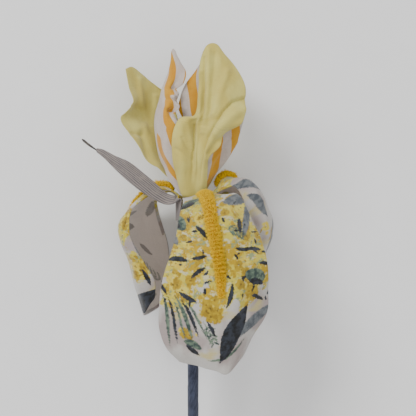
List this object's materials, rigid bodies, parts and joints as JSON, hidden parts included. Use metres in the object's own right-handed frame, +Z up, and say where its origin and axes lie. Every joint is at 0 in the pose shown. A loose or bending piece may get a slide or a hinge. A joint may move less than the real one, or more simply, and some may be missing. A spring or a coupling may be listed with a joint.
{
  "type": "fabric iris flower",
  "caption": "Cut-stem artificial iris in stiffened cloth: upright yellow and striped petals, drooping printed falls with tufted beards, a narrow bract and a cloth-covered wire stem, lying down.",
  "frame": {"origin": "on the surface that the flower lies on, under the middle of its box", "axes": "+Y along the stem towards the bloom, +Z up from the surface, out of the front of the bloom, +X to the flower's right"},
  "size_m": [0.087, 0.3016, 0.0647],
  "materials": {
    "wire": "dull drawn wire",
    "navy_cloth": "matt woven cotton, slightly mottled",
    "thread": "matt wound thread",
    "grey_tape": "matt woven tape",
    "striped_cloth": "pinkish white cotton with broad orange stripes, matt",
    "yellow_cloth": "stiffened soft yellow cotton, matt",
    "printed_cloth": null,
    "lining_cloth": "plain mauve-grey cotton, matt",
    "yellow_pile": "golden yellow tufted pile",
    "grey_cloth": "grey cotton with fine pinstripes, matt"
  },
  "bodies": {
    "root": {"stem_wire": "wire", "stem_sleeve": "navy_cloth", "petal_core": "thread", "neck_binding": "grey_tape", "stripe_petal_left": "striped_cloth", "stripe_petal_right": "striped_cloth", "stripe_petal_back": "striped_cloth", "standard_right": "yellow_cloth", "standard_left": "yellow_cloth", "standard_back": "yellow_cloth", "fall_front_face": "printed_cloth", "fall_front_lining": "lining_cloth", "beard_front": "yellow_pile", "fall_left_face": "printed_cloth", "fall_left_lining": "lining_cloth", "beard_left": "yellow_pile", "fall_right_face": "printed_cloth", "fall_right_lining": "lining_cloth", "beard_right": "yellow_pile", "bract": "grey_cloth", "bract_wire": "wire"}
  },
  "joints": []
}
